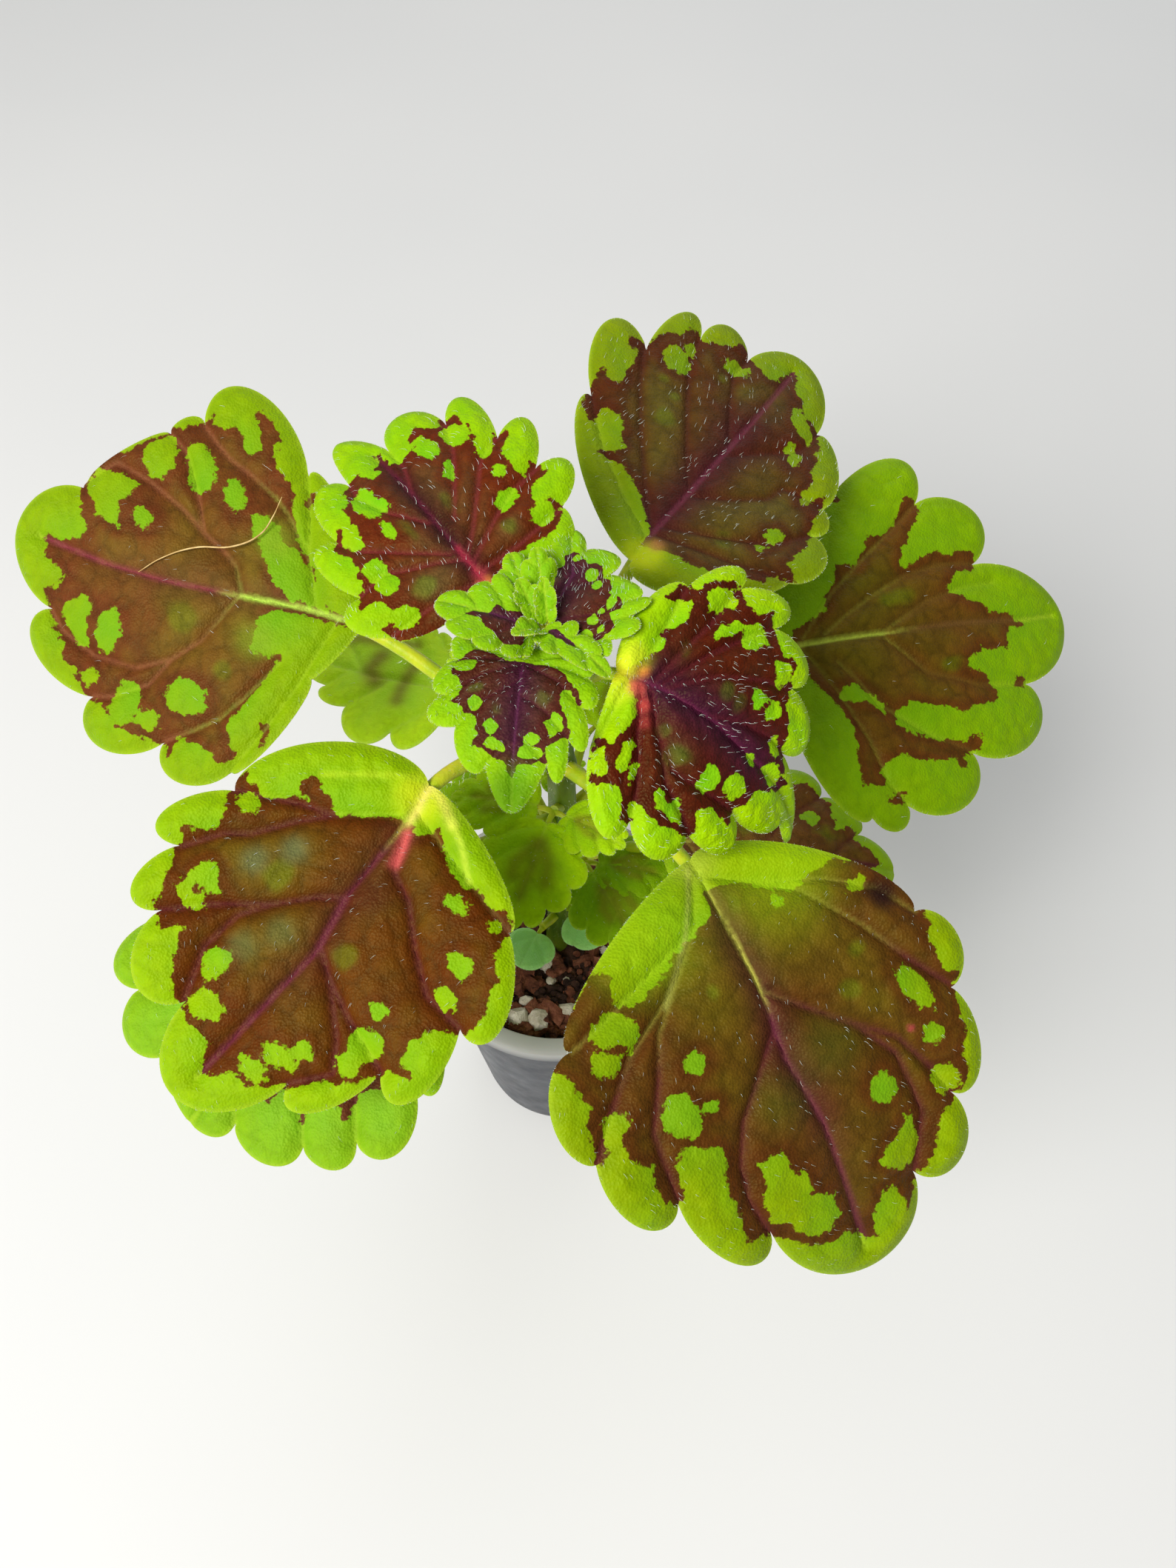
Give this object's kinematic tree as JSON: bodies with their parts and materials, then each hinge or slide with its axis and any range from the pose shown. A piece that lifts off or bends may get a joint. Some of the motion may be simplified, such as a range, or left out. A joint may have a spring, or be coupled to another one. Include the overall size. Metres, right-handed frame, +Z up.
{
  "type": "potted coleus",
  "caption": "Young coleus with scalloped green and dark-red leaves on one upright stem, standing in a small round tapered nursery pot.",
  "frame": {"origin": "centre of the pot's underside, the flat face that the plant stands on", "axes": "+Z up along the pot's axis; the main stem's tip leans slightly towards -Y, where the largest leaf hangs out over the pot's rim"},
  "size_m": [0.1845, 0.1499, 0.1815],
  "materials": {
    "pot": "satin",
    "potting_mix": "rough",
    "main_stem": "satin",
    "leaf_pair_1_back": "satin",
    "leaf_pair_1_front": "satin",
    "leaf_pair_2_front": "satin",
    "leaf_pair_2_back": "satin",
    "leaf_pair_3_back": "satin",
    "leaf_pair_3_front": "satin",
    "leaf_pair_4_front": "satin",
    "leaf_pair_4_back": "satin",
    "leaf_pair_5_back": "satin",
    "leaf_pair_5_front": "satin",
    "leaf_pair_6_front": "satin",
    "leaf_pair_6_back": "satin",
    "side_shoot_1_front": "satin",
    "side_shoot_1_back": "satin",
    "side_shoot_2_front": "satin",
    "side_shoot_2_back": "satin",
    "side_shoot_3_back": "satin",
    "seed_leaf_left": "satin",
    "seed_leaf_right": "satin",
    "shoot_tip": "satin"
  },
  "bodies": {
    "root": {"pot": "pot", "potting_mix": "potting_mix", "main_stem": "main_stem", "leaf_pair_1_back": "leaf_pair_1_back", "leaf_pair_1_front": "leaf_pair_1_front", "leaf_pair_2_front": "leaf_pair_2_front", "leaf_pair_2_back": "leaf_pair_2_back", "leaf_pair_3_back": "leaf_pair_3_back", "leaf_pair_3_front": "leaf_pair_3_front", "leaf_pair_4_front": "leaf_pair_4_front", "leaf_pair_4_back": "leaf_pair_4_back", "leaf_pair_5_back": "leaf_pair_5_back", "leaf_pair_5_front": "leaf_pair_5_front", "leaf_pair_6_front": "leaf_pair_6_front", "leaf_pair_6_back": "leaf_pair_6_back", "side_shoot_1_front": "side_shoot_1_front", "side_shoot_1_back": "side_shoot_1_back", "side_shoot_2_front": "side_shoot_2_front", "side_shoot_2_back": "side_shoot_2_back", "side_shoot_3_back": "side_shoot_3_back", "seed_leaf_left": "seed_leaf_left", "seed_leaf_right": "seed_leaf_right", "shoot_tip": "shoot_tip"}
  },
  "joints": []
}
